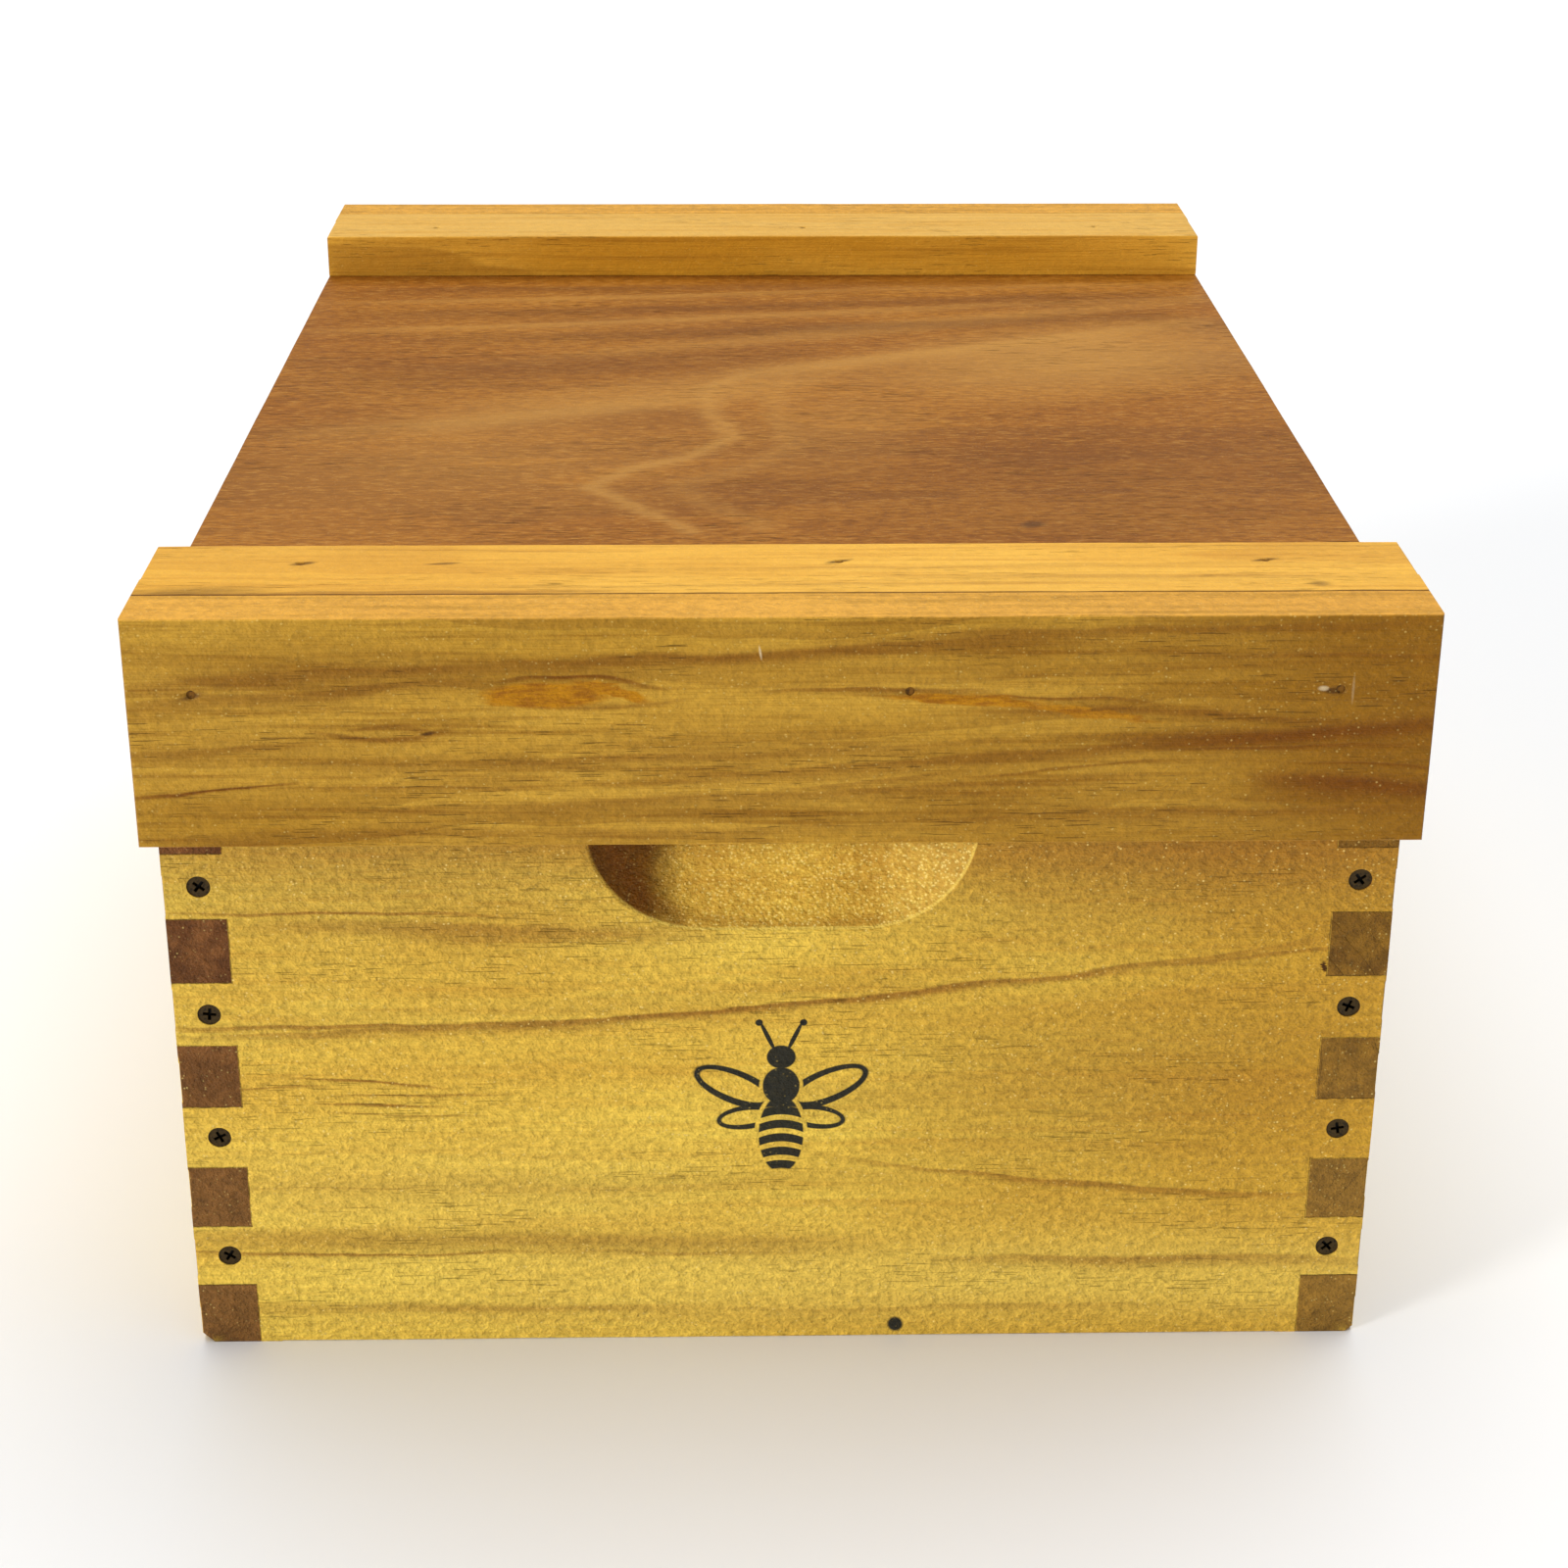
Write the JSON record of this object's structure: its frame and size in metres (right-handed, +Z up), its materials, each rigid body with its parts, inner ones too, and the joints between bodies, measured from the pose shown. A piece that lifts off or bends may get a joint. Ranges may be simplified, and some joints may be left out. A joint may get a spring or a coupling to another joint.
{
  "type": "langstroth hive box",
  "caption": "Box-jointed wooden beehive body with scooped handholds, a cleated flat lid and hanging frames holding comb foundation.",
  "frame": {"origin": "centre of the box's footprint, on the ground", "axes": "+Z up, the front handhold faces -Y, +Y along the frames, +X across the frames"},
  "size_m": [0.416, 0.5482, 0.288],
  "materials": {
    "waxed_pine": "wax-dipped pine, satin, slightly pebbled",
    "rim_pine": "wax-dipped pine, satin, darker grain",
    "batten_pine": "wax-dipped pine, satin",
    "rail_pine": "wax-dipped pine, matte",
    "plywood": "wax-dipped plywood with a reddish face veneer, satin",
    "frame_pine": "planed bare pine, matte",
    "foundation_plastic": "matte, thin wax film",
    "black_screw": "black phosphate, satin",
    "dark_nail": "dull, stained"
  },
  "bodies": {
    "box": {"front_board": "waxed_pine", "rear_board": "waxed_pine", "left_board": "waxed_pine", "right_board": "waxed_pine", "front_screws": "black_screw", "rear_screws": "black_screw", "left_screws": "black_screw", "right_screws": "black_screw"},
    "lid": {"lid_panel": "plywood", "lid_front_rim": "rim_pine", "lid_rear_rim": "rim_pine", "lid_front_batten": "batten_pine", "lid_rear_batten": "batten_pine", "lid_left_rail": "rail_pine", "lid_right_rail": "rail_pine", "lid_front_rail": "rail_pine", "lid_rear_rail": "rail_pine", "lid_batten_nails": "dark_nail", "lid_rim_nails": "dark_nail", "lid_rail_nails": "dark_nail"},
    "frame_01": {"frame_01_top_bar": "frame_pine", "frame_01_end_bars": "frame_pine", "frame_01_bottom_bar": "frame_pine", "frame_01_foundation": "foundation_plastic"},
    "frame_02": {"frame_02_top_bar": "frame_pine", "frame_02_end_bars": "frame_pine", "frame_02_bottom_bar": "frame_pine", "frame_02_foundation": "foundation_plastic"},
    "frame_03": {"frame_03_top_bar": "frame_pine", "frame_03_end_bars": "frame_pine", "frame_03_bottom_bar": "frame_pine", "frame_03_foundation": "foundation_plastic"},
    "frame_04": {"frame_04_top_bar": "frame_pine", "frame_04_end_bars": "frame_pine", "frame_04_bottom_bar": "frame_pine", "frame_04_foundation": "foundation_plastic"},
    "frame_05": {"frame_05_top_bar": "frame_pine", "frame_05_end_bars": "frame_pine", "frame_05_bottom_bar": "frame_pine", "frame_05_foundation": "foundation_plastic"},
    "frame_06": {"frame_06_top_bar": "frame_pine", "frame_06_end_bars": "frame_pine", "frame_06_bottom_bar": "frame_pine", "frame_06_foundation": "foundation_plastic"},
    "frame_07": {"frame_07_top_bar": "frame_pine", "frame_07_end_bars": "frame_pine", "frame_07_bottom_bar": "frame_pine", "frame_07_foundation": "foundation_plastic"},
    "frame_08": {"frame_08_top_bar": "frame_pine", "frame_08_end_bars": "frame_pine", "frame_08_bottom_bar": "frame_pine", "frame_08_foundation": "foundation_plastic"},
    "frame_09": {"frame_09_top_bar": "frame_pine", "frame_09_end_bars": "frame_pine", "frame_09_bottom_bar": "frame_pine", "frame_09_foundation": "foundation_plastic"},
    "frame_10": {"frame_10_top_bar": "frame_pine", "frame_10_end_bars": "frame_pine", "frame_10_bottom_bar": "frame_pine", "frame_10_foundation": "foundation_plastic"}
  },
  "joints": [
    {"name": "lid_lift", "type": "slide", "parent": "box", "child": "lid", "axis": [0, 0, 1], "range_m": [0, 0.5]},
    {"name": "frame_01_lift", "type": "slide", "parent": "box", "child": "frame_01", "axis": [0, 0, 1], "range_m": [0, 0.25]},
    {"name": "frame_02_lift", "type": "slide", "parent": "box", "child": "frame_02", "axis": [0, 0, 1], "range_m": [0, 0.25]},
    {"name": "frame_03_lift", "type": "slide", "parent": "box", "child": "frame_03", "axis": [0, 0, 1], "range_m": [0, 0.25]},
    {"name": "frame_04_lift", "type": "slide", "parent": "box", "child": "frame_04", "axis": [0, 0, 1], "range_m": [0, 0.25]},
    {"name": "frame_05_lift", "type": "slide", "parent": "box", "child": "frame_05", "axis": [0, 0, 1], "range_m": [0, 0.25]},
    {"name": "frame_06_lift", "type": "slide", "parent": "box", "child": "frame_06", "axis": [0, 0, 1], "range_m": [0, 0.25]},
    {"name": "frame_07_lift", "type": "slide", "parent": "box", "child": "frame_07", "axis": [0, 0, 1], "range_m": [0, 0.25]},
    {"name": "frame_08_lift", "type": "slide", "parent": "box", "child": "frame_08", "axis": [0, 0, 1], "range_m": [0, 0.25]},
    {"name": "frame_09_lift", "type": "slide", "parent": "box", "child": "frame_09", "axis": [0, 0, 1], "range_m": [0, 0.25]},
    {"name": "frame_10_lift", "type": "slide", "parent": "box", "child": "frame_10", "axis": [0, 0, 1], "range_m": [0, 0.25]}
  ],
  "couplings": [
    {"joint": "frame_01_lift", "follows": "lid_lift", "ratio": 0.5},
    {"joint": "frame_02_lift", "follows": "lid_lift", "ratio": 0.5},
    {"joint": "frame_03_lift", "follows": "lid_lift", "ratio": 0.5},
    {"joint": "frame_04_lift", "follows": "lid_lift", "ratio": 0.5},
    {"joint": "frame_05_lift", "follows": "lid_lift", "ratio": 0.5},
    {"joint": "frame_06_lift", "follows": "lid_lift", "ratio": 0.5},
    {"joint": "frame_07_lift", "follows": "lid_lift", "ratio": 0.5},
    {"joint": "frame_08_lift", "follows": "lid_lift", "ratio": 0.5},
    {"joint": "frame_09_lift", "follows": "lid_lift", "ratio": 0.5},
    {"joint": "frame_10_lift", "follows": "lid_lift", "ratio": 0.5}
  ]
}
